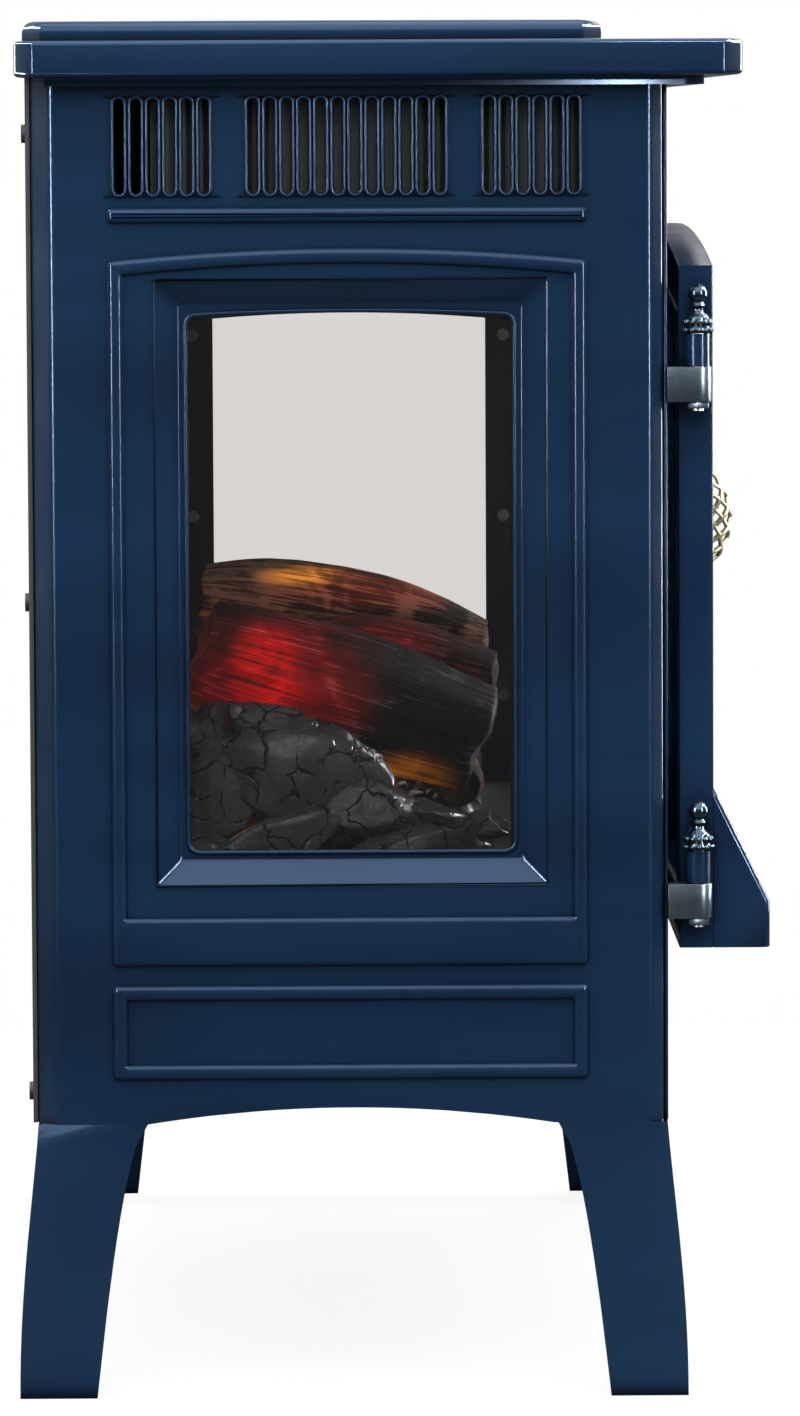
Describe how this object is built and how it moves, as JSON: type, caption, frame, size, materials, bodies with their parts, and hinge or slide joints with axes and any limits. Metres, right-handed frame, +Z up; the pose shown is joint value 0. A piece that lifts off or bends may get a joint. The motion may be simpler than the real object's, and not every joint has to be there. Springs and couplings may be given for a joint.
{
  "type": "electric fireplace",
  "caption": "Freestanding electric fireplace in the form of a small enamelled stove, with arched opening doors, side windows, a glowing log set, a fan heater and splayed corner legs.",
  "frame": {"origin": "middle of the footprint, on the surface that the legs stand on", "axes": "+Z up, front with the doors facing -Y, +X to the right of a person facing the front"},
  "size_m": [0.61, 0.3268, 0.595],
  "materials": {
    "navy_enamel": "gloss enamel",
    "black_sheet": "satin black paint",
    "clear_glass": "clear, slightly grey",
    "zinc_steel": "zinc plated",
    "black_screws": "black oxide",
    "flame_screen": "smoked acrylic",
    "ember_resin": "translucent cast resin",
    "glowing_log": "cast resin painted as glowing bark",
    "bark_log": "cast resin painted as bark",
    "charred_log": "cast resin painted as char",
    "circuit_board": "solder mask",
    "rotor_foil": "bright foil",
    "motor_steel": "pressed steel can",
    "white_nylon": "moulded",
    "quartz": "frosted quartz",
    "steatite": "unglazed",
    "black_plastic": "moulded",
    "grey_buttons": "moulded",
    "black_rubber": "moulded",
    "pewter": "dark pewter plate",
    "antique_brass": "aged bright wire",
    "magnet": "nickel plated magnet in a black case"
  },
  "bodies": {
    "cabinet": {"top_plate": "navy_enamel", "top_deck": "navy_enamel", "left_side_panel": "navy_enamel", "right_side_panel": "navy_enamel", "front_frame": "navy_enamel", "back_panel": "black_sheet", "base_pan": "black_sheet", "left_window_glass": "clear_glass", "right_window_glass": "clear_glass", "left_window_retainer": "black_sheet", "right_window_retainer": "black_sheet", "retainer_screws": "zinc_steel", "front_left_leg": "navy_enamel", "front_right_leg": "navy_enamel", "rear_left_leg": "navy_enamel", "rear_right_leg": "navy_enamel", "leg_bolts": "zinc_steel", "back_screws": "black_screws", "firebox_back": "black_sheet", "flame_screen": "flame_screen", "firebox_ceiling": "black_sheet", "firebox_floor": "black_sheet", "ember_bed": "ember_resin", "charred_log": "charred_log", "main_log": "glowing_log", "top_log": "bark_log", "front_log": "bark_log", "branch_log": "glowing_log", "ember_light_board": "circuit_board", "flame_light_board": "circuit_board", "rotor_motor": "motor_steel", "rotor_bearing": "white_nylon", "heater_box": "zinc_steel", "quartz_tubes": "quartz", "tube_holders": "steatite", "blower_housing": "black_sheet", "blower_motor": "motor_steel", "outlet_grille": "black_sheet", "thermal_cutoff": "steatite", "control_board": "circuit_board", "control_panel": "black_plastic", "cord_gland": "black_rubber", "hinge_brackets": "pewter", "hinge_pins": "zinc_steel", "hinge_nuts": "pewter", "hinge_finials": "pewter", "magnet_catches": "magnet"},
    "left_door": {"left_door_frame": "navy_enamel", "left_door_glass": "clear_glass", "left_ash_lip": "navy_enamel"},
    "right_door": {"right_door_frame": "navy_enamel", "right_door_glass": "clear_glass", "right_ash_lip": "navy_enamel", "door_handle": "antique_brass"},
    "blower": {"blower_wheel": "black_plastic"},
    "flame_spinner": {"flame_rotor": "rotor_foil"},
    "power_key": {"power_button": "grey_buttons"},
    "flame_key": {"flame_button": "grey_buttons"},
    "heat_key": {"heat_button": "grey_buttons"},
    "rocker": {"power_rocker": "black_plastic"}
  },
  "joints": [
    {"name": "left_door_hinge", "type": "hinge", "parent": "cabinet", "child": "left_door", "pos_m": [-0.282, -0.131, 0.3335], "axis": [0, 0, -1], "range_deg": [0, 105]},
    {"name": "right_door_hinge", "type": "hinge", "parent": "cabinet", "child": "right_door", "pos_m": [0.282, -0.131, 0.3335], "axis": [0, 0, 1], "range_deg": [0, 105]},
    {"name": "blower_spin", "type": "hinge", "parent": "cabinet", "child": "blower", "pos_m": [0, 0.0224, 0.1597], "axis": [1, 0, 0], "continuous": true},
    {"name": "flame_rotor_spin", "type": "hinge", "parent": "cabinet", "child": "flame_spinner", "pos_m": [0, 0.1294, 0.25], "axis": [1, 0, 0], "continuous": true},
    {"name": "power_button_press", "type": "slide", "parent": "cabinet", "child": "power_key", "axis": [0, -1, 0], "range_m": [0, 0.002], "stiffness_N_per_m": 400, "springref_m": -0.0005},
    {"name": "flame_button_press", "type": "slide", "parent": "cabinet", "child": "flame_key", "axis": [0, -1, 0], "range_m": [0, 0.002], "stiffness_N_per_m": 400, "springref_m": -0.0005},
    {"name": "heat_button_press", "type": "slide", "parent": "cabinet", "child": "heat_key", "axis": [0, -1, 0], "range_m": [0, 0.002], "stiffness_N_per_m": 400, "springref_m": -0.0005},
    {"name": "power_rocker_tilt", "type": "hinge", "parent": "cabinet", "child": "rocker", "pos_m": [0.156, 0.1494, 0.523], "axis": [0, 0, 1], "range_deg": [0, 16]}
  ]
}
